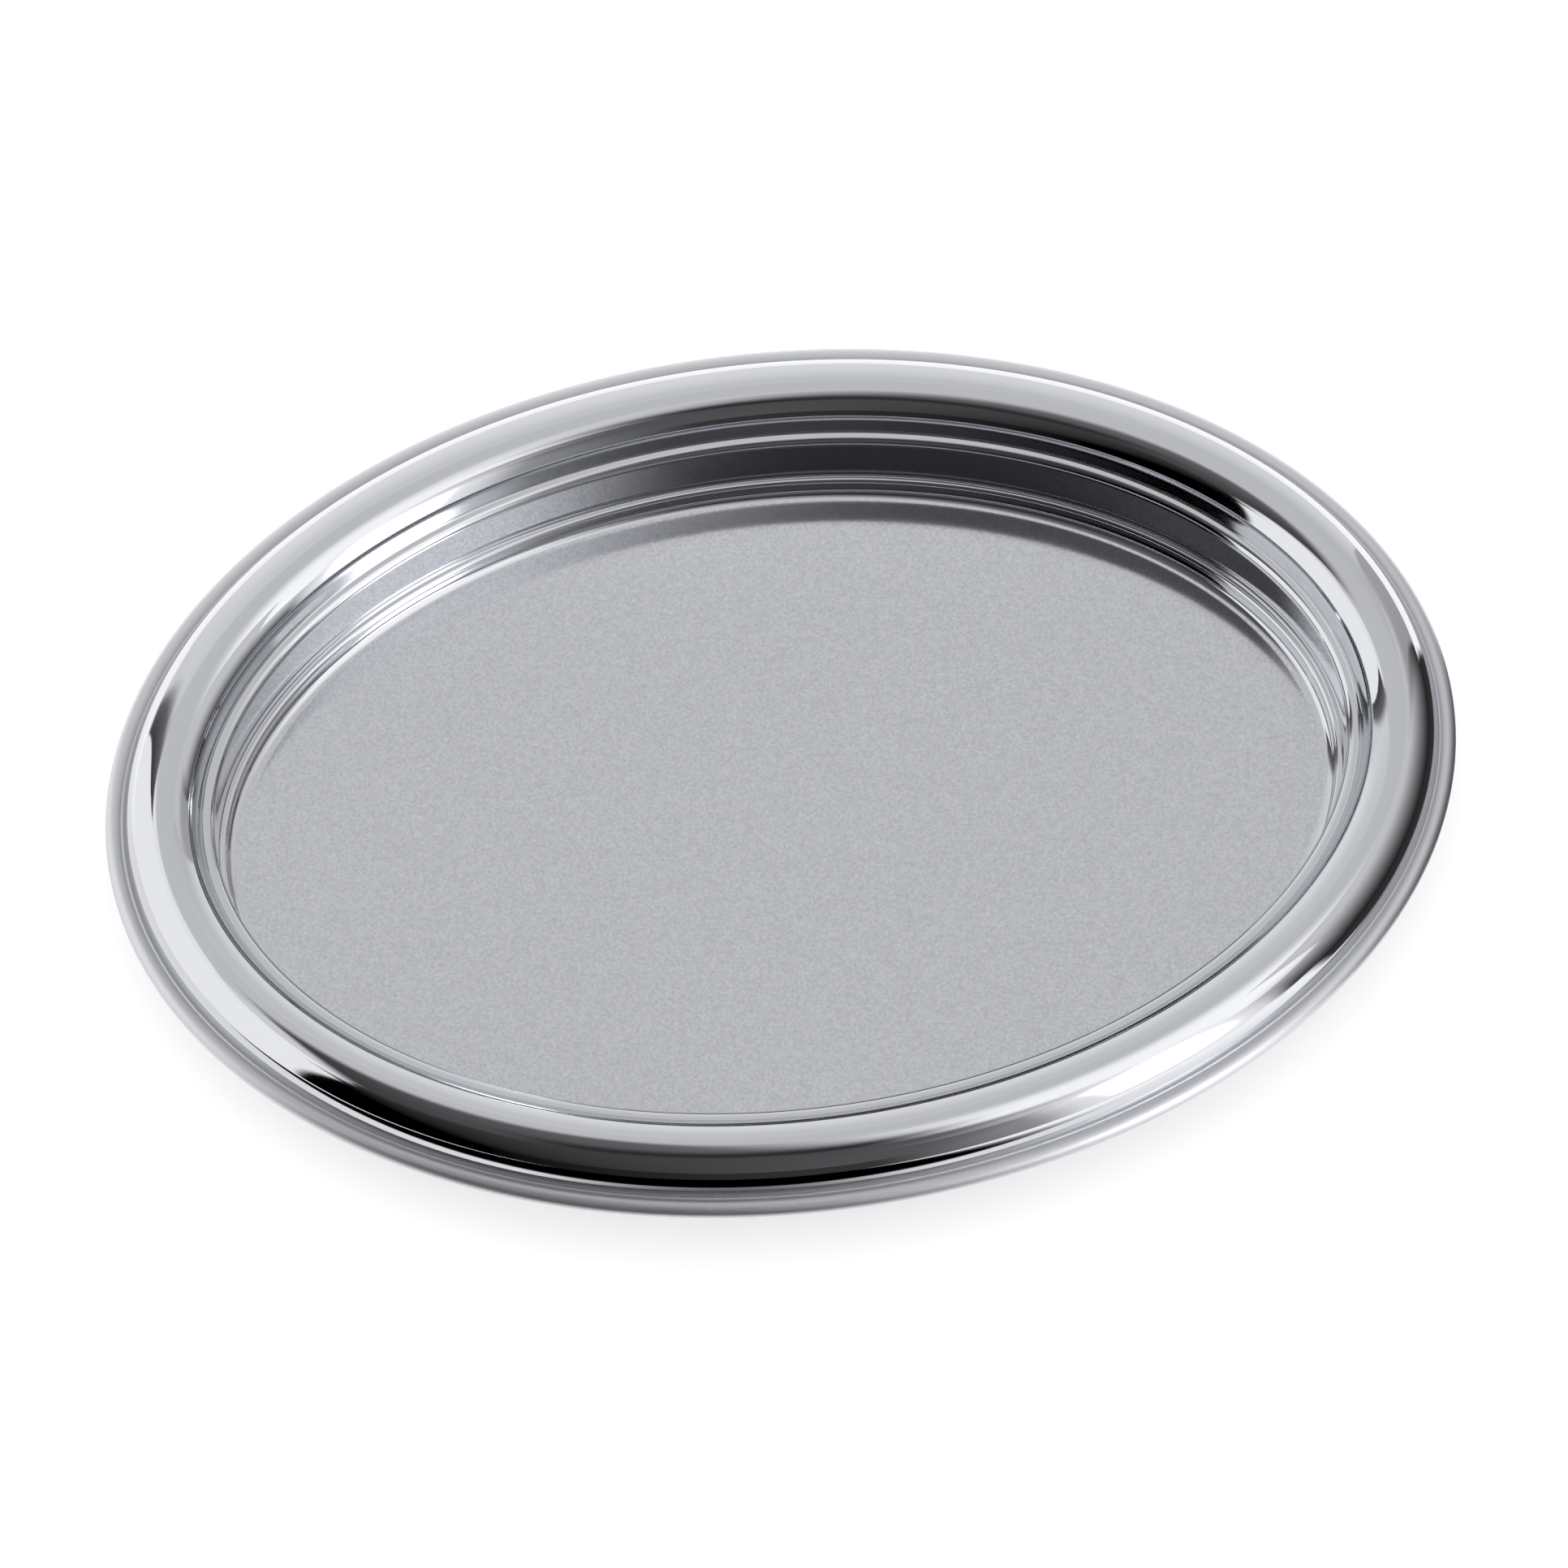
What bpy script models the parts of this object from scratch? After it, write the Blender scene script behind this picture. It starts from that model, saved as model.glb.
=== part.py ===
"""Oval serving tray in pressed stainless steel.

One drawn sheet makes the floor, a small step, the wall, a narrow shelf, a half-round rim that is
open underneath, and a rolled edge. The edge is rolled around a steel wire, which is a piece of its
own.

Metres, +Z up, X along the oval. The origin is the middle of the underside, where the tray rests.
"""

import math

import bmesh
import bpy

MM = 0.001

# The oval, measured over the rolled edge
LENGTH = 220 * MM
WIDTH = 151.6 * MM

# The sheet and its bends
SHEET = 0.7 * MM
INSIDE_BEND = 0.15 * MM      # radius inside a bend that turns down over a brink
CORNER = 0.3 * MM            # radius where a level strip meets the upright above it
FLOOR_CORNER = 1.8 * MM      # the same, where the floor meets the lowest upright

# The wire and the edge that is rolled around it
WIRE_RADIUS = 0.6 * MM
WIRE_GAP = 0.3 * MM          # all round, between the wire and the roll
GROOVE_LAP = 0.3 * MM        # how far the rim stands over the inner side of the roll
ROLL_DROP = 1.6 * MM         # from the shelf down to the middle of the wire
ROLL_END = 12                # degrees past level at which the roll's free edge stops

# The half-round rim
RIM_WIDTH = 12.9 * MM
RIM_RISE = 6.4 * MM          # from the shelf up to the crest

# The shelf, the step and the wall, measured from the floor's upper face
SHELF_HEIGHT = 16.1 * MM
STEP_HEIGHT = 3.7 * MM
LEVEL_STRIP = 0.2 * MM       # flat part of the shelf and of the step
DRAFT = 3.3                  # degrees that the uprights lean outwards

# How finely curves are divided
STATIONS = 64                # sections around the oval
ROLL_STEPS = 10
RIM_STEPS = 5                # on each side of the crest
CORNER_STEPS = 2
BRINK_STEPS = 3
FLOOR_CORNER_STEPS = 4
WIRE_SIDES = 8
SMOOTH_ANGLE = math.radians(40)

ROLL_RADIUS = WIRE_RADIUS + WIRE_GAP + SHEET
BRINK_RADIUS = INSIDE_BEND + SHEET
SHELF_LEVEL = SHEET + SHELF_HEIGHT
STEP_LEVEL = SHEET + STEP_HEIGHT
ROLL_CENTRE = (ROLL_RADIUS, SHELF_LEVEL - ROLL_DROP)

# A section is drawn in two numbers: the distance inwards from the outermost edge, and the height.
# Its angles are in degrees: 0 points to the middle of the tray, 90 up and 180 outwards.


def bend(centre, radius, start, stop, steps, hollow=False):
    """Points along an arc, each with the direction that the show side faces there."""
    facing = -1 if hollow else 1
    points = []
    for step in range(steps + 1):
        angle = math.radians(start + (stop - start) * step / steps)
        inwards, up = math.cos(angle), math.sin(angle)
        place = (centre[0] + radius * inwards, centre[1] + radius * up)
        points.append((place, (facing * inwards, facing * up)))
    return points


def crown(foot, half_width, rise, start, stop, steps):
    """One side of the half-round rim, a quarter of an ellipse that is level at the crest."""
    points = []
    for step in range(steps + 1):
        angle = math.radians(start + (stop - start) * step / steps)
        inwards, up = math.cos(angle), math.sin(angle)
        slope = math.hypot(inwards / half_width, up / rise)
        place = (foot[0] + half_width * inwards, foot[1] + rise * up)
        points.append((place, (inwards / half_width / slope, up / rise / slope)))
    return points


def joined(*runs):
    """The runs one after another, without the points that two of them share."""
    points = list(runs[0])
    for run in runs[1:]:
        shared = math.dist(points[-1][0], run[0][0]) < SHEET / 1000
        points += run[1:] if shared else run
    return points


def rolled_edge():
    """The roll from its free edge, under and round the outside, to the groove beside the rim."""
    flank = 2 * ROLL_RADIUS - GROOVE_LAP
    reach = ROLL_RADIUS + CORNER
    across = flank - CORNER - ROLL_CENTRE[0]
    up = math.sqrt(reach ** 2 - across ** 2)
    groove_centre = (flank - CORNER, ROLL_CENTRE[1] + up)
    touch = math.degrees(math.atan2(up, across))
    roll = bend(ROLL_CENTRE, ROLL_RADIUS, 360 + ROLL_END, touch, ROLL_STEPS)
    groove = bend(groove_centre, CORNER, 180 + touch, 360, CORNER_STEPS + 1, hollow=True)
    return joined(roll, groove)


def half_round_rim(outer_foot):
    """The rim from the groove over its crest to the shelf."""
    middle = outer_foot[0] + RIM_WIDTH / 2
    crest = SHELF_LEVEL + RIM_RISE
    inner_foot = SHELF_LEVEL + CORNER
    outer = crown((middle, outer_foot[1]), RIM_WIDTH / 2, crest - outer_foot[1], 180, 90, RIM_STEPS)
    inner = crown((middle, inner_foot), RIM_WIDTH / 2, crest - inner_foot, 90, 0, RIM_STEPS)
    return joined(outer, inner)


def upright(top, corner, level, steps):
    """The foot of an upright that leans by the draft, and its corner down to a level strip."""
    draft = math.radians(DRAFT)
    touch = level + corner * (1 - math.sin(draft))
    inset = top[0] + (top[1] - touch) * math.tan(draft)
    centre = (inset + corner * math.cos(draft), level + corner)
    return bend(centre, corner, 180 + DRAFT, 270, steps, hollow=True)


def brink(strip_start, level):
    """The end of a level strip and the bend that turns down over it."""
    centre = (strip_start + LEVEL_STRIP, level - BRINK_RADIUS)
    return bend(centre, BRINK_RADIUS, 90, DRAFT, BRINK_STEPS)


def show_side():
    """The whole section of the show side, from the roll's free edge to the edge of the floor."""
    edge = rolled_edge()
    rim = half_round_rim(edge[-1][0])
    shelf_centre = (rim[-1][0][0] + CORNER, SHELF_LEVEL + CORNER)
    shelf_corner = bend(shelf_centre, CORNER, 180, 270, CORNER_STEPS, hollow=True)
    shelf_brink = brink(shelf_corner[-1][0][0], SHELF_LEVEL)
    step_corner = upright(shelf_brink[-1][0], CORNER, STEP_LEVEL, CORNER_STEPS)
    step_brink = brink(step_corner[-1][0][0], STEP_LEVEL)
    floor_corner = upright(step_brink[-1][0], FLOOR_CORNER, SHEET, FLOOR_CORNER_STEPS)
    return joined(edge, rim, shelf_corner, shelf_brink, step_corner, step_brink, floor_corner)


def on_oval(station, inset):
    """A point of the plan: a place on the oval, moved straight inwards."""
    angle = 2 * math.pi * station / STATIONS
    along, across = LENGTH / 2 * math.cos(angle), WIDTH / 2 * math.sin(angle)
    facing = (WIDTH / 2 * math.cos(angle), LENGTH / 2 * math.sin(angle))
    size = math.hypot(*facing)
    return along - inset * facing[0] / size, across - inset * facing[1] / size


def sweep(name, section, ring, material):
    """An object whose section is carried round the oval; a section that isn't a ring is capped."""
    work = bmesh.new()
    stations = []
    for station in range(STATIONS):
        places = [(*on_oval(station, inset), height) for inset, height in section]
        stations.append([work.verts.new(place) for place in places])
    for here, there in zip(stations, stations[1:] + stations[:1]):
        ends = range(len(section)) if ring else range(len(section) - 1)
        for first in ends:
            second = (first + 1) % len(section)
            work.faces.new((here[first], there[first], there[second], here[second]))
    if not ring:
        work.faces.new([corners[0] for corners in stations])
        work.faces.new([corners[-1] for corners in stations])
    bmesh.ops.recalc_face_normals(work, faces=work.faces[:])
    mesh = bpy.data.meshes.new(name)
    work.to_mesh(mesh)
    work.free()
    mesh.shade_smooth()
    mesh.set_sharp_from_angle(angle=SMOOTH_ANGLE)
    mesh.materials.append(material)
    piece = bpy.data.objects.new(name, mesh)
    bpy.context.collection.objects.link(piece)
    return piece


def polished_steel():
    """Stainless sheet, buffed bright on the rim and satin on the floor."""
    return metal("polished_stainless", (0.58, 0.586, 0.61), 0.15)


def drawn_wire():
    """Plain drawn stainless wire."""
    return metal("drawn_stainless", (0.5, 0.505, 0.51), 0.4)


def metal(name, colour, roughness):
    material = bpy.data.materials.new(name)
    material.use_nodes = True
    shader = material.node_tree.nodes["Principled BSDF"]
    shader.inputs["Base Color"].default_value = (*colour, 1)
    shader.inputs["Metallic"].default_value = 1
    shader.inputs["Roughness"].default_value = roughness
    return material


def tray_pan():
    """The pressed sheet: its show side, and its back one sheet thickness behind."""
    show = show_side()
    front = [place for place, _ in show]
    back = [(place[0] - SHEET * face[0], place[1] - SHEET * face[1]) for place, face in show]
    return sweep("tray_pan", back[::-1] + front, False, polished_steel())


def rim_wire():
    """The wire inside the rolled edge."""
    turn = bend(ROLL_CENTRE, WIRE_RADIUS, 0, 360, WIRE_SIDES)
    return sweep("rim_wire", [place for place, _ in turn[:-1]], True, drawn_wire())


def main():
    for item in list(bpy.data.objects):
        bpy.data.objects.remove(item, do_unlink=True)
    tray_pan()
    rim_wire()


main()
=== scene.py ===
"""Looks of the oval serving tray: polished stainless steel in a white studio with dark flags.

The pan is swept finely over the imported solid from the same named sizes, in metres.
"""
import math

import bpy
from mathutils import Matrix, Vector

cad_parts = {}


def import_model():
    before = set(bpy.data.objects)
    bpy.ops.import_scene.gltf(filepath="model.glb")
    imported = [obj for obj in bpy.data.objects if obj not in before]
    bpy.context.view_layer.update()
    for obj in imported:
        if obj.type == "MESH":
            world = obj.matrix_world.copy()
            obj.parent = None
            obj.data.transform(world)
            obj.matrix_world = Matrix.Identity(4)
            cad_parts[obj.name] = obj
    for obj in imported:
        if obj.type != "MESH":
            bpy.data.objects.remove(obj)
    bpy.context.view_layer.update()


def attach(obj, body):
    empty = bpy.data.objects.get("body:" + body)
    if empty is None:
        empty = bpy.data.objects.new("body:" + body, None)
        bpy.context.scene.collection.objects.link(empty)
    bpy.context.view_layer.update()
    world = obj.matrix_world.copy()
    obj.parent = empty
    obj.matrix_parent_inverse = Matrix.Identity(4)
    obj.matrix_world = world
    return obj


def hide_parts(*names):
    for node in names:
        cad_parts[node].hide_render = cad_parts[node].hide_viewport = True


MM = 0.001

# The oval and its section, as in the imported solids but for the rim's straight flanks, the wall's
# bend and lean, and the dish at the floor's edge
LENGTH = 220 * MM            # over the rolled edge, as is the width
WIDTH = 151.6 * MM
SHEET = 0.7 * MM
INSIDE_BEND = 0.15 * MM
CORNER = 0.3 * MM
WIRE_RADIUS = 0.6 * MM
WIRE_GAP = 0.3 * MM
GROOVE_LAP = 0.3 * MM
ROLL_DROP = 1.6 * MM
ROLL_END = 12
RIM_WIDTH = 12.9 * MM
RIM_RISE = 6.4 * MM
RIM_SLOPE = 73               # degrees off level of the rim's straight flanks
SHELF_HEIGHT = 16.1 * MM
STEP_HEIGHT = 3.7 * MM
LEVEL_STRIP = 0.2 * MM
WALL_BEND = 1.5 * MM         # radius of the bend that turns down from the shelf into the wall
WALL_DRAFT = 0.4             # degrees that the wall leans outwards
DRAFT = 3.3                  # the same for the lowest upright
FLOOR_CORNER = 3.3 * MM      # radius of the dish that runs from the lowest upright into the floor
FLOOR_SLOPE = 32             # degrees off level at which that dish starts

ROLL_RADIUS = WIRE_RADIUS + WIRE_GAP + SHEET
BRINK_RADIUS = INSIDE_BEND + SHEET
SHELF_LEVEL = SHEET + SHELF_HEIGHT
STEP_LEVEL = SHEET + STEP_HEIGHT
ROLL_CENTRE = (ROLL_RADIUS, SHELF_LEVEL - ROLL_DROP)

# How finely the pan is drawn for the eye
STATIONS = 288
ARC_STEP = 7.5               # degrees
FINE_STEP = 3                # degrees, on the bends that show the most
TIGHT_STEP = 12              # degrees, in the smallest corners
WIRE_STEP = 15
FLAT_RING = 0.1 * MM         # strip of the floor next to its corner
WELD = 0.001 * MM            # points nearer than this are one

# The view
TURN = math.radians(-6.86)   # the camera's plan angle off the tray's short axis
ELEVATION = math.radians(66.97)
DISTANCE = 1.65
TILT = math.radians(-0.79)   # its turn about its own line of sight
LENS = 231.6
SENSOR = 36
PHOTO_WIDTH = 1932           # pixels
SHIFT = (2.2 / PHOTO_WIDTH, 34.8 / PHOTO_WIDTH)
CLIP = (0.05, 20)

# Where the finishes meet: each change runs from the first value to the second
SATIN_START = (0.2 * MM, 0.01 * MM)      # height above the floor
BUFFING_END = (3.1 * MM, 2.8 * MM)       # inset, in the groove beside the rim

# Sizes of the patterns in the steel; those of lines are their length and width
BUFFING_LINES = (30 * MM, 0.25 * MM)
DRAWING_LINES = (40 * MM, 0.12 * MM)
SATIN_GRAIN = 0.45 * MM
HANDLED_SPOTS = 22 * MM                  # where hands and glasses have rubbed the satin
SHEET_RELIEF = 0.0015 * MM
WIRE_RELIEF = 0.002 * MM

# Roughness at the low and the high end of each finish's pattern
BUFFED_ROUGH = (0.02, 0.075)
ROLL_ROUGH = (0.38, 0.54)
SATIN_ROUGH = (0.08, 0.13)
DRAWN_ROUGH = (0.28, 0.42)

# Colours; the satin's grain goes from dark to light over the middle of the noise
BUFFED_STEEL = "#c8c9cd"
SATIN_STEEL = "#c7c8cd"
WIRE_STEEL = "#bcbdbe"
NOISE_MIDDLE = (0.3, 0.7)
SPECK = (0.87, 1.12)
WHITE = (1, 1, 1, 1)

# Levels of the cards that lie flat, in metres
TOP_LEVEL = 0.47
SIDE_LEVEL = 0.43
HOLE_LEVEL = 0.41
CORE_LEVEL = 0.405
BEYOND_LEVEL = 0.40
NEAR_LEVEL = 0.0004                      # the lower one of two on the table
FLAG_LEVEL = 0.0008

# The table that the tray stands on
TABLE_REACH = 6
TABLE_DROP = 0.0002                      # keeps it clear of the underside
TABLE_WHITE = (0.85, 0.85, 0.85, 1)
TABLE_ROUGH = 0.9
TABLE_SEEN = 0.35                        # its own light, as the camera sees it
TABLE_MIRRORED = 0.6                     # the same, as the steel mirrors it


# Nodes and colours


def add(tree, kind, links=None, **settings):
    """Adds a node; links gives its sockets a value or another node's output."""
    node = tree.nodes.new(kind)
    for name, value in settings.items():
        setattr(node, name, value)
    for socket, value in (links or {}).items():
        if isinstance(value, bpy.types.NodeSocket):
            tree.links.new(value, node.inputs[socket])
        else:
            node.inputs[socket].default_value = value
    return node


def linear(hex_colour):
    """An sRGB hex colour as linear RGBA."""
    parts = [int(hex_colour[i:i + 2], 16) / 255 for i in (1, 3, 5)]
    return (*[p / 12.92 if p <= 0.04045 else ((p + 0.055) / 1.055) ** 2.4 for p in parts], 1)


def new_material(name):
    material = bpy.data.materials.new(name)
    material.use_nodes = True
    return material, material.node_tree, material.node_tree.nodes["Principled BSDF"]


# The section: distance inwards from the outermost edge, and height


def bend(centre, radius, start, stop, hollow=False, step=ARC_STEP):
    """An arc as points with the direction that the show side faces there."""
    count = max(2, math.ceil(abs(stop - start) / step))
    facing = -1 if hollow else 1
    points = []
    for index in range(count + 1):
        angle = math.radians(start + (stop - start) * index / count)
        inwards, up = math.cos(angle), math.sin(angle)
        place = (centre[0] + radius * inwards, centre[1] + radius * up)
        points.append((place, (facing * inwards, facing * up)))
    return points


def joined(*runs):
    """The runs one after another, without the points that two of them share."""
    points = list(runs[0])
    for run in runs[1:]:
        shared = math.dist(points[-1][0], run[0][0]) < SHEET / 1000
        points += run[1:] if shared else run
    return points


def rolled_edge():
    """The roll from its free edge, under and round the outside, and the groove beside the rim."""
    flank = 2 * ROLL_RADIUS - GROOVE_LAP
    reach = ROLL_RADIUS + CORNER
    across = flank - CORNER - ROLL_CENTRE[0]
    up = math.sqrt(reach ** 2 - across ** 2)
    groove_centre = (flank - CORNER, ROLL_CENTRE[1] + up)
    touch = math.degrees(math.atan2(up, across))
    roll = bend(ROLL_CENTRE, ROLL_RADIUS, 360 + ROLL_END, touch)
    stop = 270 + RIM_SLOPE
    groove = bend(groove_centre, CORNER, 180 + touch, stop, hollow=True, step=TIGHT_STEP)
    return joined(roll, groove)


def half_round_rim(outer_foot):
    """The rim: straight flank, arc over the crest, straight flank and the shelf's corner."""
    slope = math.radians(RIM_SLOPE)
    radius = (RIM_WIDTH / 2 - RIM_RISE / math.tan(slope)) / math.tan(slope / 2)
    crest = SHELF_LEVEL + RIM_RISE
    flank_top = crest - radius * (1 - math.cos(slope))
    outer_run = (flank_top - outer_foot[1]) / math.tan(slope)
    middle = outer_foot[0] + radius * math.sin(slope) + outer_run
    arc = bend((middle, crest - radius), radius, 90 + RIM_SLOPE, 90 - RIM_SLOPE, step=FINE_STEP)
    foot = SHELF_LEVEL + CORNER * (1 - math.cos(slope))
    inset = middle + radius * math.sin(slope) + (flank_top - foot) / math.tan(slope)
    centre = (inset + CORNER * math.sin(slope), SHELF_LEVEL + CORNER)
    corner = bend(centre, CORNER, 270 - RIM_SLOPE, 270, hollow=True, step=TIGHT_STEP)
    return joined(arc, corner)


def wall_corner(top):
    """The tight corner at the foot of the wall, which leans outwards by the draft."""
    lean = math.radians(WALL_DRAFT)
    touch = STEP_LEVEL + CORNER * (1 - math.sin(lean))
    inset = top[0] + (top[1] - touch) * math.tan(lean)
    centre = (inset + CORNER * math.cos(lean), STEP_LEVEL + CORNER)
    return bend(centre, CORNER, 180 + WALL_DRAFT, 270, hollow=True)


def dished_corner(top):
    """A tight corner at the foot of the lowest upright, and the dish from it into the floor."""
    lean, slope = math.radians(DRAFT), math.radians(FLOOR_SLOPE)
    gap = FLOOR_CORNER - CORNER
    low = SHEET + FLOOR_CORNER - gap * math.cos(slope)
    inset = top[0] + (top[1] - low + CORNER * math.sin(lean)) * math.tan(lean)
    tight = (inset + CORNER * math.cos(lean), low)
    wide = (tight[0] + gap * math.sin(slope), SHEET + FLOOR_CORNER)
    turn = bend(tight, CORNER, 180 + DRAFT, 270 - FLOOR_SLOPE, hollow=True)
    dish = bend(wide, FLOOR_CORNER, 270 - FLOOR_SLOPE, 270, hollow=True, step=FINE_STEP)
    return joined(turn, dish)


def brink(strip_start, level, radius, draft, step=ARC_STEP):
    """A level strip's end and the bend that turns down over it."""
    centre = (strip_start + LEVEL_STRIP, level - radius)
    return bend(centre, radius, 90, draft, step=step)


def show_side():
    """The whole show side, from the roll's free edge to the edge of the floor."""
    edge = rolled_edge()
    rim = half_round_rim(edge[-1][0])
    shelf_end = rim[-1][0][0]
    shelf_brink = brink(shelf_end, SHELF_LEVEL, WALL_BEND, WALL_DRAFT, FINE_STEP)
    step_corner = wall_corner(shelf_brink[-1][0])
    step_brink = brink(step_corner[-1][0][0], STEP_LEVEL, BRINK_RADIUS, DRAFT)
    floor_corner = dished_corner(step_brink[-1][0])
    inner = (floor_corner[-1][0][0] + FLAT_RING, SHEET)
    return joined(edge, rim, shelf_brink, step_corner, step_brink, floor_corner, [(inner, (0, 1))])


def whole_section():
    """The show side and the back, with the rounded cut edge between them."""
    show = show_side()
    front = [place for place, _ in show]
    thinned = show[:-1:2] + show[-1:]
    back = [(place[0] - SHEET * face[0], place[1] - SHEET * face[1]) for place, face in thinned]
    return front[::-1] + back


def section_object(name, places, closed):
    """The section as a chain of edges. The sweep puts its -X inwards and its -Y up."""
    mesh = bpy.data.meshes.new(name)
    count = len(places)
    edges = [(i, i + 1) for i in range(count - 1)] + ([(count - 1, 0)] if closed else [])
    mesh.from_pydata([(-inset, -height, 0) for inset, height in places], edges, [])
    piece = bpy.data.objects.new(name, mesh)
    bpy.context.scene.collection.objects.link(piece)
    return piece


# The sweep round the oval


def sweep_tree(capped):
    """Geometry Nodes that carry a section round the oval, and close the floor."""
    tree = bpy.data.node_groups.new("sweep_round_the_oval", "GeometryNodeTree")
    face = tree.interface
    for label, kind in (("Geometry", "NodeSocketGeometry"), ("Section", "NodeSocketObject"),
                        ("Length", "NodeSocketFloat"), ("Width", "NodeSocketFloat"),
                        ("Stations", "NodeSocketInt"), ("Sheet", "NodeSocketFloat"),
                        ("Finish", "NodeSocketMaterial")):
        face.new_socket(label, in_out="INPUT", socket_type=kind)
    face.new_socket("Geometry", in_out="OUTPUT", socket_type="NodeSocketGeometry")
    given = tree.nodes.new("NodeGroupInput").outputs
    result = tree.nodes.new("NodeGroupOutput")
    half_length = add(tree, "ShaderNodeMath", {0: given["Length"], 1: 0.5}, operation="MULTIPLY")
    half_width = add(tree, "ShaderNodeMath", {0: given["Width"], 1: 0.5}, operation="MULTIPLY")
    size = add(tree, "ShaderNodeCombineXYZ",
               {0: half_length.outputs[0], 1: half_width.outputs[0], 2: 1.0})
    circle = add(tree, "GeometryNodeCurvePrimitiveCircle",
                 {"Resolution": given["Stations"], "Radius": 1.0})
    oval = add(tree, "GeometryNodeTransform",
               {"Geometry": circle.outputs[0], "Scale": size.outputs[0]})
    upright_oval = add(tree, "GeometryNodeSetCurveNormal", {0: oval.outputs[0]}, mode="Z_UP")
    chain = add(tree, "GeometryNodeObjectInfo", {"Object": given["Section"]})
    place = add(tree, "GeometryNodeInputPosition")
    parts = add(tree, "ShaderNodeSeparateXYZ", {0: place.outputs[0]})
    section = add(tree, "GeometryNodeMeshToCurve", {0: chain.outputs["Geometry"]})
    inset = add(tree, "ShaderNodeMath", {0: parts.outputs[0]}, operation="ABSOLUTE")
    marked = add(tree, "GeometryNodeStoreNamedAttribute",
                 {"Geometry": section.outputs[0], "Name": "inset", "Value": inset.outputs[0]},
                 data_type="FLOAT", domain="POINT")
    swept = add(tree, "GeometryNodeCurveToMesh",
                {"Curve": upright_oval.outputs[0], "Profile Curve": marked.outputs[0]})
    last = swept
    if capped:
        last = floor_caps(tree, swept, parts, given["Sheet"])
    smooth = add(tree, "GeometryNodeSetShadeSmooth", {0: last.outputs[0]})
    real = add(tree, "GeometryNodeRealizeInstances", {0: smooth.outputs[0]})
    finished = add(tree, "GeometryNodeSetMaterial",
                   {"Geometry": real.outputs[0], "Material": given["Finish"]})
    tree.links.new(finished.outputs[0], result.inputs[0])
    return tree


def floor_caps(tree, swept, parts, sheet):
    """Fills the two open loops: the floor's upper face and its underside."""
    neighbours = add(tree, "GeometryNodeInputMeshEdgeNeighbors")
    rim = add(tree, "FunctionNodeCompare", {2: neighbours.outputs[0], 3: 1},
              data_type="INT", operation="EQUAL")
    middle = add(tree, "ShaderNodeMath", {0: sheet, 1: 0.5}, operation="MULTIPLY")
    faces = []
    for side, operation in (("upper", "GREATER_THAN"), ("lower", "LESS_THAN")):
        high = add(tree, "ShaderNodeMath", {0: parts.outputs[2], 1: middle.outputs[0]},
                   operation=operation)
        both = add(tree, "FunctionNodeBooleanMath", {0: rim.outputs[0], 1: high.outputs[0]},
                   operation="AND")
        loop = add(tree, "GeometryNodeMeshToCurve", {0: swept.outputs[0], 1: both.outputs[0]})
        sheet_face = add(tree, "GeometryNodeFillCurve", {"Curve": loop.outputs[0]}, mode="NGONS")
        if side == "upper":
            lift = add(tree, "ShaderNodeCombineXYZ", {2: sheet})
            moved = add(tree, "GeometryNodeSetPosition",
                        {"Geometry": sheet_face.outputs[0], "Offset": lift.outputs[0]})
        else:
            moved = add(tree, "GeometryNodeFlipFaces", {0: sheet_face.outputs[0]})
        faces.append(moved)
    joint = add(tree, "GeometryNodeJoinGeometry")
    for part in (swept, *faces):
        tree.links.new(part.outputs[0], joint.inputs[0])
    return add(tree, "GeometryNodeMergeByDistance",
               {"Geometry": joint.outputs[0], "Distance": WELD})


def sweep(name, places, closed, finish):
    """Runs the nodes on a section and keeps the result as a plain mesh."""
    section = section_object(name + "_section", places, closed)
    tree = sweep_tree(capped=not closed)
    holder = bpy.data.objects.new(name + "_nodes", bpy.data.meshes.new(name + "_nodes"))
    bpy.context.scene.collection.objects.link(holder)
    modifier = holder.modifiers.new("sweep", "NODES")
    modifier.node_group = tree
    values = {"Section": section, "Length": LENGTH, "Width": WIDTH, "Stations": STATIONS,
              "Sheet": SHEET, "Finish": finish}
    for item in tree.interface.items_tree:
        if item.in_out == "INPUT" and item.name in values:
            modifier[item.identifier] = values[item.name]
    bpy.context.view_layer.update()
    seen = holder.evaluated_get(bpy.context.evaluated_depsgraph_get())
    mesh = bpy.data.meshes.new_from_object(seen)
    mesh.name = name
    piece = bpy.data.objects.new(name, mesh)
    bpy.context.scene.collection.objects.link(piece)
    for spare in (holder, section):
        bpy.data.objects.remove(spare, do_unlink=True)
    return piece


# Finishes


def share(tree, value, start, stop):
    """0 at start and 1 at stop, with a soft way between."""
    return add(tree, "ShaderNodeMapRange", {0: value, 1: start, 2: stop},
               interpolation_type="SMOOTHSTEP").outputs[0]


def blended(tree, amount, first, second):
    """A number that goes from first to second as amount goes from 0 to 1."""
    return add(tree, "ShaderNodeMix", {0: amount, 2: first, 3: second}).outputs[0]


def grain(tree, where, detail=2.0):
    """Noise with one cell to each unit of where."""
    noise = add(tree, "ShaderNodeTexNoise", {"Vector": where, "Scale": 1.0, "Detail": detail})
    return noise.outputs[0]


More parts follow.
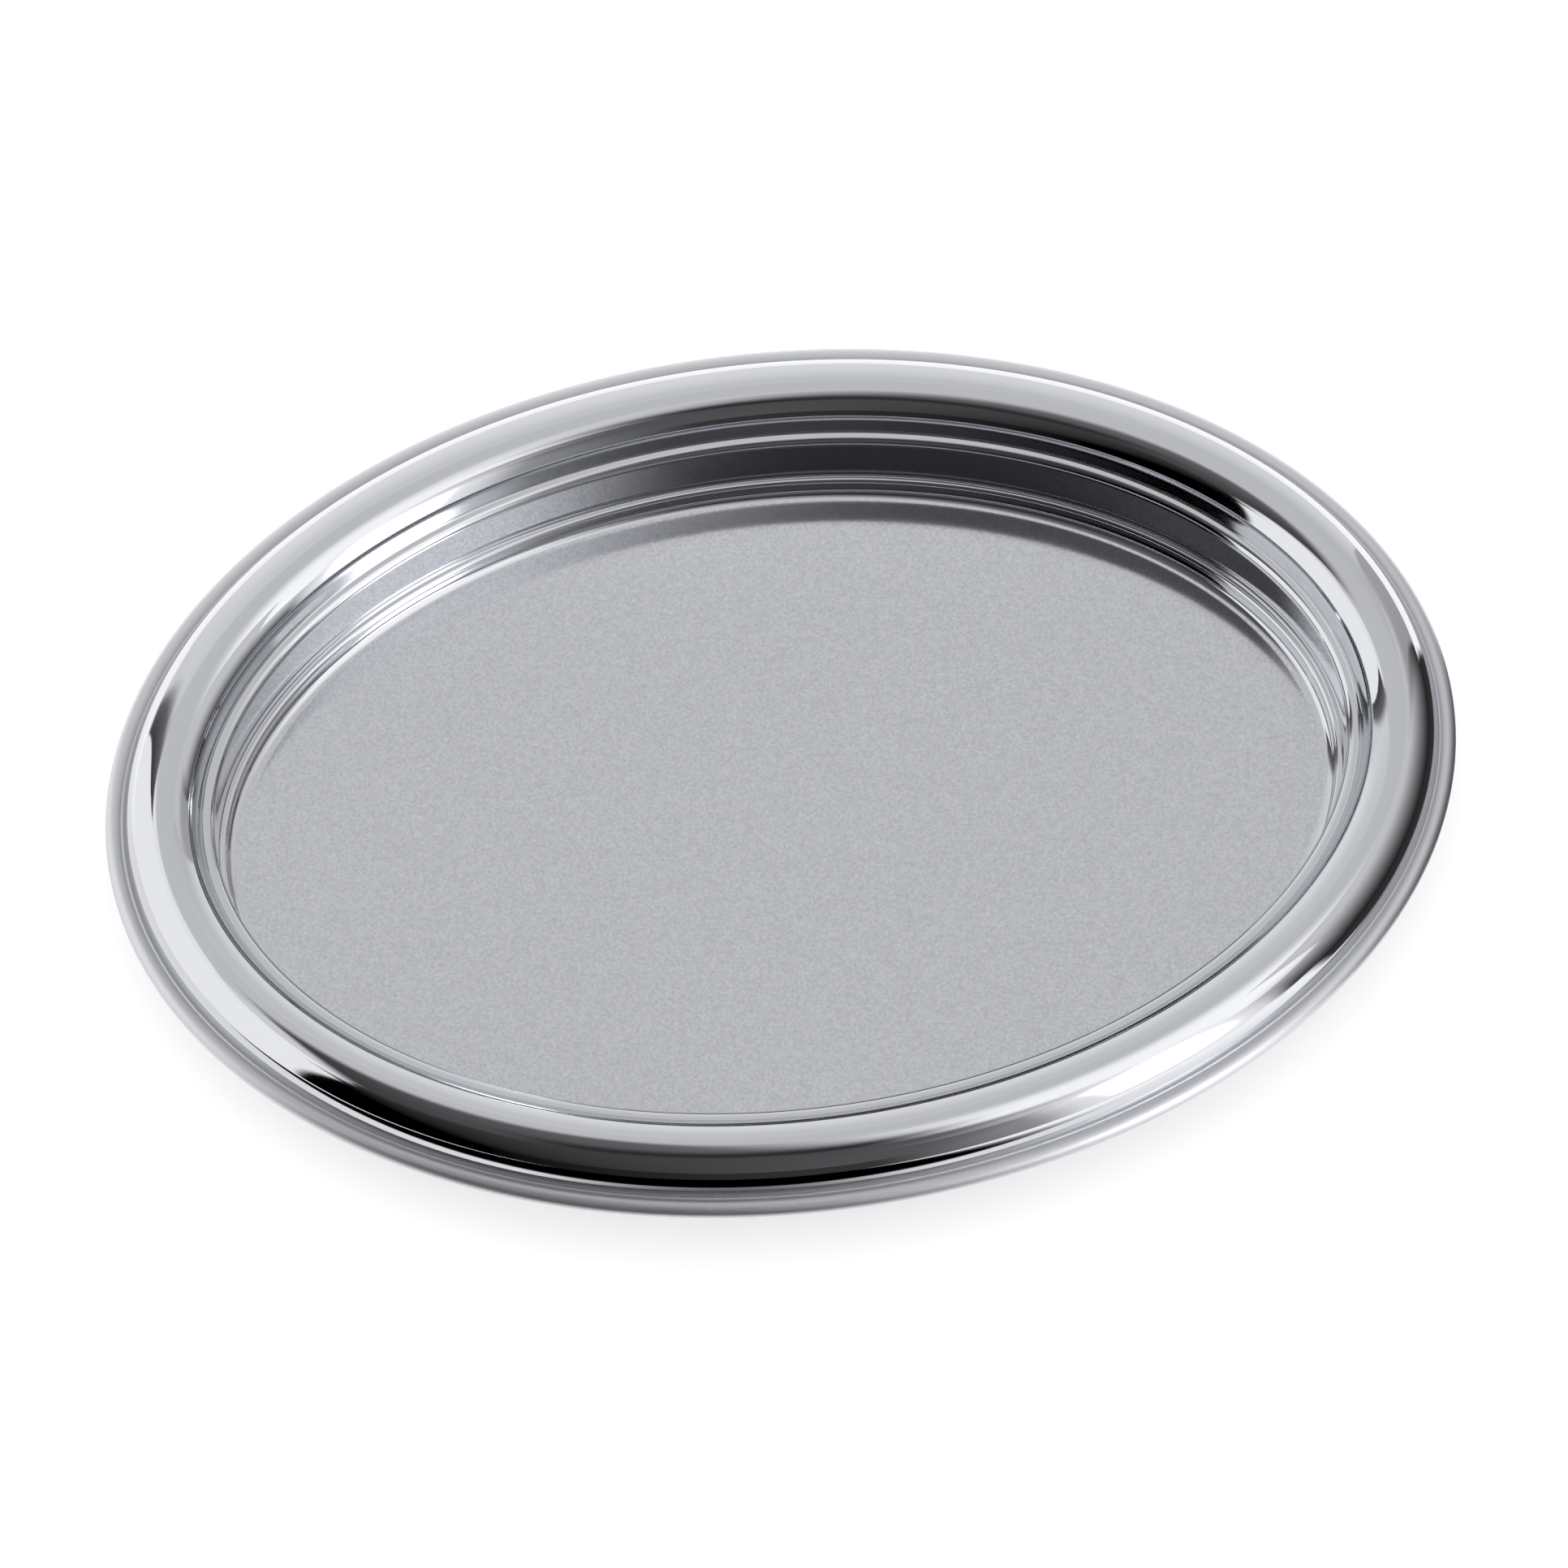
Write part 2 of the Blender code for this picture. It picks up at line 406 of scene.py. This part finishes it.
def lines_round(tree, place, long, wide):
    """Noise drawn out round the oval, as a buffing wheel or a die leaves its lines."""
    plan = add(tree, "ShaderNodeVectorMath", {0: place, 1: (2 / LENGTH, 2 / WIDTH, 0)},
               operation="MULTIPLY")
    turn = add(tree, "ShaderNodeVectorMath", {0: plan.outputs[0]}, operation="NORMALIZE")
    mean_radius = (LENGTH + WIDTH) / 4
    stretched = add(tree, "ShaderNodeVectorMath",
                    {0: turn.outputs[0], "Scale": mean_radius / long}, operation="SCALE")
    inset = add(tree, "ShaderNodeAttribute", attribute_name="inset")
    across = add(tree, "ShaderNodeMath", {0: inset.outputs["Fac"], 1: 1 / wide},
                 operation="MULTIPLY")
    fine = add(tree, "ShaderNodeCombineXYZ", {2: across.outputs[0]})
    where = add(tree, "ShaderNodeVectorMath", {0: stretched.outputs[0], 1: fine.outputs[0]},
                operation="ADD")
    return grain(tree, where.outputs[0])


def scaled(tree, place, size):
    """Object coordinates in units of a pattern's size."""
    units = add(tree, "ShaderNodeVectorMath", {0: place, "Scale": 1 / size}, operation="SCALE")
    return units.outputs[0]


def polished_stainless():
    """18/10 stainless sheet, pressed, then buffed on the rim and the wall: a slightly cool mirror.

    Buffing leaves faint lines round the oval. The curling tool leaves the rolled edge duller. The
    floor keeps the satin of the mill, so it shows one soft grey with a fine even grain.
    """
    material, tree, shader = new_material("polished_stainless_sheet")
    place = add(tree, "ShaderNodeTexCoord").outputs["Object"]
    height = add(tree, "ShaderNodeSeparateXYZ", {0: place}).outputs[2]
    inset = add(tree, "ShaderNodeAttribute", attribute_name="inset").outputs["Fac"]
    on_floor = share(tree, height, SHEET + SATIN_START[0], SHEET + SATIN_START[1])
    on_roll = share(tree, inset, *BUFFING_END)
    # Real buffing lines are a few hundredths of a millimetre wide: drawn coarser, so they show.
    lines = lines_round(tree, place, *BUFFING_LINES)
    # The satin's grain is about a tenth of a millimetre: also drawn coarser.
    satin = grain(tree, scaled(tree, place, SATIN_GRAIN), detail=3.0)
    handled = grain(tree, scaled(tree, place, HANDLED_SPOTS))
    buffed = blended(tree, lines, *BUFFED_ROUGH)
    dull = blended(tree, lines, *ROLL_ROUGH)
    soft = blended(tree, handled, *SATIN_ROUGH)
    rough = blended(tree, on_floor, blended(tree, on_roll, buffed, dull), soft)
    tree.links.new(rough, shader.inputs["Roughness"])
    tone = add(tree, "ShaderNodeMix",
               {0: on_floor, 6: linear(BUFFED_STEEL), 7: linear(SATIN_STEEL)}, data_type="RGBA")
    speck = add(tree, "ShaderNodeMapRange",
                {0: satin, 1: NOISE_MIDDLE[0], 2: NOISE_MIDDLE[1], 3: SPECK[0], 4: SPECK[1]})
    shade = blended(tree, on_floor, 1.0, speck.outputs[0])
    grey = add(tree, "ShaderNodeVectorMath", {0: tone.outputs[2], "Scale": shade},
               operation="SCALE")
    tree.links.new(grey.outputs[0], shader.inputs["Base Color"])
    shader.inputs["Metallic"].default_value = 1
    relief = blended(tree, on_floor, lines, satin)
    bump = add(tree, "ShaderNodeBump",
               {"Height": relief, "Strength": 1.0, "Distance": SHEET_RELIEF})
    tree.links.new(bump.outputs[0], shader.inputs["Normal"])
    return material


def drawn_wire_finish():
    """Stainless wire pulled through a die: a little dull, with drawing lines along it."""
    material, tree, shader = new_material("drawn_stainless_wire")
    place = add(tree, "ShaderNodeTexCoord").outputs["Object"]
    lines = lines_round(tree, place, *DRAWING_LINES)
    shader.inputs["Base Color"].default_value = linear(WIRE_STEEL)
    shader.inputs["Metallic"].default_value = 1
    tree.links.new(blended(tree, lines, *DRAWN_ROUGH), shader.inputs["Roughness"])
    bump = add(tree, "ShaderNodeBump",
               {"Height": lines, "Strength": 1.0, "Distance": WIRE_RELIEF})
    tree.links.new(bump.outputs[0], shader.inputs["Normal"])
    return material


# The studio


def turned(x, y, z):
    """A place given in the view's own plan directions: X to its right, Y away from it."""
    return Matrix.Rotation(TURN, 3, "Z") @ Vector((x, y, z))


def camera():
    data = bpy.data.cameras.new("view")
    data.lens = LENS
    data.sensor_width = SENSOR
    data.shift_x, data.shift_y = SHIFT
    data.clip_start, data.clip_end = CLIP
    view = bpy.data.objects.new("view", data)
    bpy.context.scene.collection.objects.link(view)
    away = turned(0, -math.cos(ELEVATION), math.sin(ELEVATION))
    right = turned(1, 0, 0)
    up = turned(0, math.sin(ELEVATION), math.cos(ELEVATION))
    across = right * math.cos(TILT) + up * math.sin(TILT)
    rise = up * math.cos(TILT) - right * math.sin(TILT)
    facing = Matrix((across, rise, away)).transposed().to_4x4()
    view.matrix_world = Matrix.Translation(away * DISTANCE) @ facing
    bpy.context.scene.camera = view


def card(name, corners, strengths, fades=(0, 0, 0, 0)):
    """A card or panel that only reflections see, with edges that can fade out.

    Its corners go round from u = v = 0. strengths are its light at u = 0 and u = 1, and fades are
    the shares of its width and height over which it fades at u = 0, u = 1, v = 0 and v = 1.
    """
    cells = 8
    low_left, low_right, high_right, high_left = (Vector(corner) for corner in corners)
    places, spots = [], []
    for row in range(cells + 1):
        for column in range(cells + 1):
            u, v = column / cells, row / cells
            place = low_left.lerp(low_right, u).lerp(high_left.lerp(high_right, u), v)
            places.append(turned(*place))
            spots.append((u, v))
    across = cells + 1
    faces = [(i, i + 1, i + across + 1, i + across)
             for row in range(cells) for i in range(row * across, row * across + cells)]
    mesh = bpy.data.meshes.new(name)
    mesh.from_pydata(places, [], faces)
    layer = mesh.uv_layers.new(name="card")
    for loop in mesh.loops:
        layer.data[loop.index].uv = spots[loop.vertex_index]
    piece = bpy.data.objects.new(name, mesh)
    bpy.context.scene.collection.objects.link(piece)
    mesh.materials.append(card_light(name, strengths, fades))
    piece.visible_camera = False
    piece.visible_diffuse = False
    piece.visible_shadow = False


def card_light(name, strengths, fades):
    """A card's light, clear where the card fades out."""
    material = bpy.data.materials.new(name)
    material.use_nodes = True
    tree = material.node_tree
    tree.nodes.clear()
    spot = add(tree, "ShaderNodeUVMap", uv_map="card")
    parts = add(tree, "ShaderNodeSeparateXYZ", {0: spot.outputs[0]})
    shown = None
    for index, fade in enumerate(fades):
        if not fade:
            continue
        start, stop = (0, fade) if index % 2 == 0 else (1, 1 - fade)
        edge = share(tree, parts.outputs[index // 2], start, stop)
        if shown:
            both = add(tree, "ShaderNodeMath", {0: shown, 1: edge}, operation="MULTIPLY")
            edge = both.outputs[0]
        shown = edge
    level = add(tree, "ShaderNodeMapRange",
                {0: parts.outputs[0], 3: strengths[0], 4: strengths[1]})
    glow = add(tree, "ShaderNodeEmission",
               {"Color": WHITE, "Strength": level.outputs[0]})
    out = add(tree, "ShaderNodeOutputMaterial")
    if shown:
        clear = add(tree, "ShaderNodeBsdfTransparent")
        mixed = add(tree, "ShaderNodeMixShader",
                    {0: shown, 1: clear.outputs[0], 2: glow.outputs[0]})
        tree.links.new(mixed.outputs[0], out.inputs["Surface"])
    else:
        tree.links.new(glow.outputs[0], out.inputs["Surface"])
    return material


def floor():
    """A white table. Its own light makes it white to the camera and pale grey in the steel."""
    mesh = bpy.data.meshes.new("studio_floor")
    corners = [(x * TABLE_REACH, y * TABLE_REACH, 0)
               for x, y in ((-1, -1), (1, -1), (1, 1), (-1, 1))]
    mesh.from_pydata(corners, [], [(0, 1, 2, 3)])
    piece = bpy.data.objects.new("studio_floor", mesh)
    bpy.context.scene.collection.objects.link(piece)
    piece.location.z = -TABLE_DROP
    material, tree, shader = new_material("white_table")
    shader.inputs["Base Color"].default_value = TABLE_WHITE
    shader.inputs["Roughness"].default_value = TABLE_ROUGH
    shader.inputs["Emission Color"].default_value = WHITE
    rays = add(tree, "ShaderNodeLightPath")
    mirrored = add(tree, "ShaderNodeMath",
                   {0: rays.outputs["Is Glossy Ray"], 1: TABLE_MIRRORED}, operation="MULTIPLY")
    lift = add(tree, "ShaderNodeMath",
               {0: rays.outputs["Is Camera Ray"], 1: TABLE_SEEN, 2: mirrored.outputs[0]},
               operation="MULTIPLY_ADD")
    tree.links.new(lift.outputs[0], shader.inputs["Emission Strength"])
    mesh.materials.append(material)


def world():
    scene = bpy.context.scene
    scene.world = bpy.data.worlds.new("studio")
    scene.world.use_nodes = True
    background = scene.world.node_tree.nodes["Background"]
    background.inputs["Color"].default_value = WHITE
    background.inputs["Strength"].default_value = 1.0


def upright_card(name, start, stop, low, high, strengths, fades=(0, 0, 0, 0)):
    """A card that stands on a line of the plan, from start to stop."""
    card(name, [(*start, low), (*stop, low), (*stop, high), (*start, high)], strengths, fades)


def level_card(name, corners, height, strengths, fades=(0, 0, 0, 0)):
    card(name, [(*corner, height) for corner in corners], strengths, fades)


def studio():
    """White walls with dark flags, about a tray's length away, and a grey camera hole overhead."""
    world()
    floor()
    # Behind: a pale wall that is brightest low down.
    upright_card("back_wall", (-0.30, 0.26), (0.80, 0.26), 0.0, 0.95, (1.03, 0.48))
    upright_card("back_wall_foot", (-0.30, 0.25), (0.60, 0.25), -0.15, 0.30,
                 (1.22, 0.95), (0.14, 0.1, 0, 0.6))
    # Left: a tall white panel, and a dark gap between it and the wall behind.
    upright_card("left_panel", (-0.32, 0.17), (-0.32, -0.275), 0.0, 0.52,
                 (1.34, 1.36), (0.01, 0.05, 0, 0))
    card("left_gap",
         [(-0.33, 0.165, 0.0), (-0.30, 0.20, 0.0), (-0.19, 0.249, 0.55), (-0.33, 0.165, 0.55)],
         (0.02, 0.3), (0, 0.4, 0.1, 0.15))
    # Right: a low dark flag that fades upwards, then a tall lamp panel with a hot core.
    upright_card("right_wall", (0.27, 0.9), (0.27, -0.1), 0.0, 0.9, (0.78, 0.9))
    upright_card("right_flag", (0.25, 0.135), (0.25, -0.17), -0.02, 0.26,
                 (0.04, 0.02), (0.03, 0.1, 0, 1.0))
    upright_card("right_shade", (0.252, 0.32), (0.252, 0.10), 0.0, 0.32,
                 (0.62, 0.50), (0.25, 0.1, 0, 0.5))
    upright_card("right_lamp", (0.26, -0.16), (0.26, -0.50), 0.0, 0.6,
                 (1.4, 1.2), (0.12, 0.4, 0, 0))
    upright_card("lamp_core", (0.255, -0.185), (0.255, -0.365), 0.02, 0.45,
                 (6.5, 6.5), (0.35, 0.35, 0.2, 0.4))
    # Front: black, and paler towards the lamp.
    upright_card("front_left_flag", (-0.33, -0.25), (-0.50, -1.2), 0.0, 1.2, (0, 0))
    upright_card("front_flag", (-0.52, -1.1), (0.25, -1.1), 0.0, 1.2, (0, 0.06))
    upright_card("front_flag_right", (0.25, -1.1), (0.9, -1.1), 0.0, 1.2, (0.06, 0.8))
    # Overhead: white at the sides, grey round the camera hole, dark beyond it.
    level_card("top_panel", [(-0.40, 0.02), (0.70, 0.02), (0.70, 0.60), (-0.40, 0.60)], TOP_LEVEL,
               (0.85, 0.78))
    level_card("top_left", [(-0.45, -0.36), (-0.20, 0.12), (-0.20, 0.22), (-0.45, 0.22)],
               SIDE_LEVEL, (1.28, 1.28), (0, 0.2, 0, 0.2))
    level_card("top_right", [(0.08, -0.36), (0.60, -0.36), (0.60, 0.17), (-0.03, 0.09)],
               SIDE_LEVEL, (1.5, 1.65), (0.18, 0, 0, 0.4))
    level_card("camera_hole", [(-0.34, -0.34), (0.22, -0.34), (-0.02, 0.12), (-0.15, 0.10)],
               HOLE_LEVEL, (0.05, 0.25), (0.12, 0.3, 0, 0.2))
    level_card("camera", [(-0.14, -0.34), (0.11, -0.34), (0.11, -0.06), (-0.14, -0.06)],
               CORE_LEVEL, (0.04, 0.04), (0.25, 0.25, 0.1, 0.4))
    level_card("black_beyond", [(-0.50, -1.2), (0.46, -1.2), (0.27, -0.17), (-0.32, -0.17)],
               BEYOND_LEVEL, (0, 0.19), (0, 0.33, 0, 0.08))
    # On the table: what the rolled edge and the rim's outer foot show.
    level_card("table_near", [(-0.36, -0.16), (0.16, -0.16), (0.12, 0.06), (-0.36, 0.06)],
               NEAR_LEVEL, (1.1, 1.2), (0.2, 0.2, 0.1, 0.3))
    level_card("table_front", [(-0.34, -1.2), (0.30, -1.2), (0.09, -0.094), (-0.20, -0.094)],
               FLAG_LEVEL, (0, 0), (0.02, 0.15, 0, 0.008))
    level_card("table_right", [(0.112, -0.05), (0.26, -0.15), (0.26, 0.13), (0.112, 0.03)],
               FLAG_LEVEL, (0.05, 0.02), (0.05, 0, 0.1, 0.05))


def main():
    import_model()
    bpy.context.scene.view_settings.view_transform = "Standard"
    camera()
    studio()
    pan = sweep("pressed_pan", whole_section(), False, polished_stainless())
    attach(pan, "root")
    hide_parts("tray_pan")
    turn = bend(ROLL_CENTRE, WIRE_RADIUS, 0, 360, step=WIRE_STEP)
    wire = sweep("round_wire", [place for place, _ in turn[:-1]], True, drawn_wire_finish())
    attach(wire, "root")
    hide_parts("rim_wire")


main()
